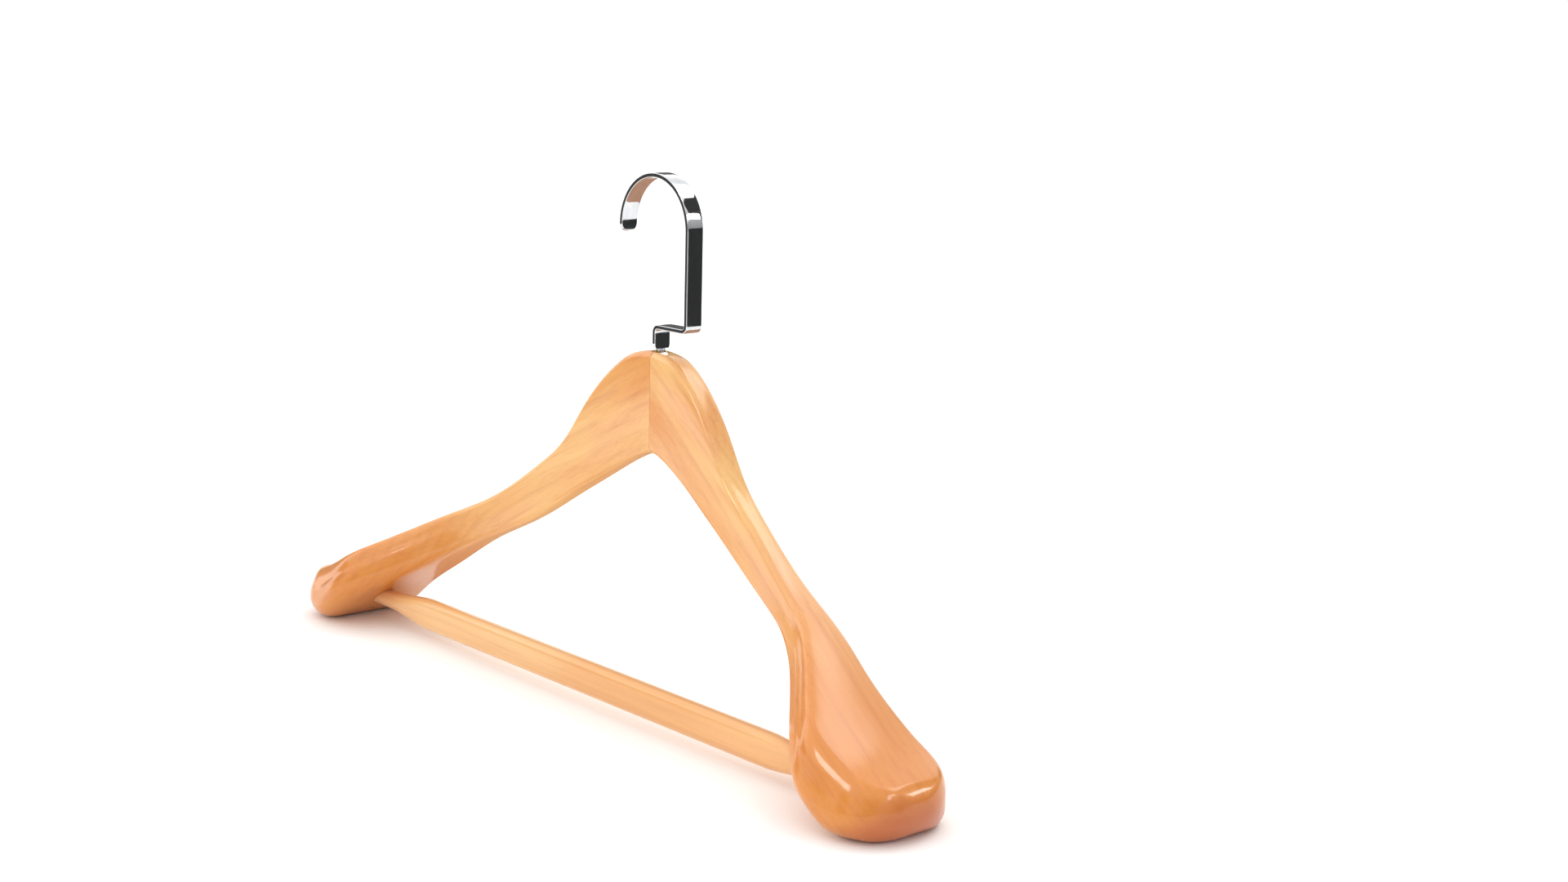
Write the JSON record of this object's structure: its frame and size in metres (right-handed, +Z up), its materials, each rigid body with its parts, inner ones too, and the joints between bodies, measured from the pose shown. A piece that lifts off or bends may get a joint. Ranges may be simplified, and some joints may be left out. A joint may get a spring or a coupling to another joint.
{
  "type": "clothes hanger",
  "caption": "Wide-shoulder wooden suit hanger with a trouser bar and a flat chrome hook that swivels in the head.",
  "frame": {"origin": "middle of the hanger's box, on the surface that the two shoulder ends stand on", "axes": "+X along the hanger from the left arm to the right arm, +Y from the shoulder ends towards the back of the head, +Z up towards the hook"},
  "size_m": [0.445, 0.0788, 0.245],
  "materials": {
    "arm_wood": "honey-coloured hardwood under gloss lacquer",
    "bar_wood": "honey-coloured hardwood under gloss lacquer",
    "tenon_wood": "bare sanded wood",
    "brad_steel": "plain drawn steel",
    "sleeve_brass": "turned",
    "stud_steel": "turned",
    "hook_chrome": "mirror polished"
  },
  "bodies": {
    "frame": {"right_arm": "arm_wood", "left_arm": "arm_wood", "loose_tenon": "tenon_wood", "trouser_bar": "bar_wood", "bar_brad_right": "brad_steel", "bar_brad_left": "brad_steel", "swivel_sleeve": "sleeve_brass", "thrust_washer": "stud_steel"},
    "hook": {"swivel_stud": "stud_steel", "hook_band": "hook_chrome"}
  },
  "joints": [
    {"name": "hook_swivel", "type": "hinge", "parent": "frame", "child": "hook", "pos_m": [0, 0.0332, 0.163], "axis": [0, 0, 1], "continuous": true}
  ]
}
